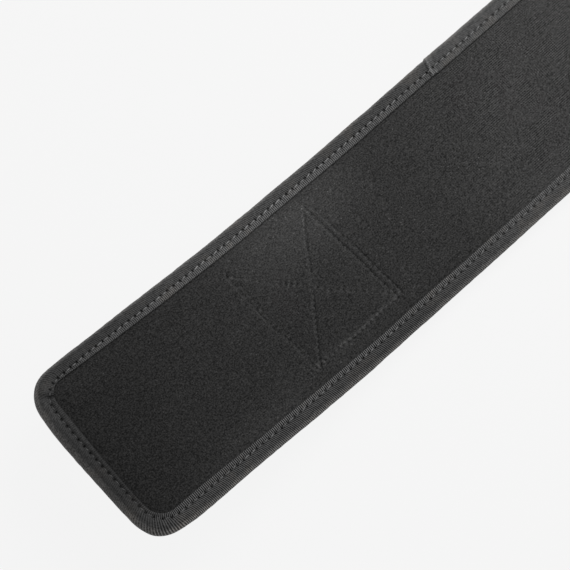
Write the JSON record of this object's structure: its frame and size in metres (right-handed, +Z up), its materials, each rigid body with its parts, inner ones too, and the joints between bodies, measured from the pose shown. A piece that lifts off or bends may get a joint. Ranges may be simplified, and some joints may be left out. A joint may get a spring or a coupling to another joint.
{
  "type": "weightlifting belt",
  "caption": "Padded nylon weightlifting belt laid open, inner face up, tape-bound all round, with a webbing strap, a steel ring and a hook patch on its outer face.",
  "frame": {"origin": "on the surface the belt lies on, under the middle of the whole, from the tip of the body to the tip of the strap", "axes": "+X along the belt, from the end with the ring to the tip of the strap. +Y across the belt. +Z up, out of the inner face, which lies uppermost."},
  "size_m": [1.1216, 0.103, 0.0514],
  "materials": {
    "lining": "black brushed knit lining, matt",
    "shell": "black plain-woven nylon, matt",
    "tape": "black ribbed grosgrain tape with a slight sheen",
    "webbing": "black woven nylon webbing with a brushed outer face",
    "ring": "plated steel wire, satin",
    "hook": "black hook tape of moulded nylon"
  },
  "bodies": {
    "root": {"inner_lining": "lining", "padded_shell": "shell", "edge_binding": "tape", "closure_strap": "webbing", "buckle_ring": "ring", "hook_patch": "hook"}
  },
  "joints": []
}
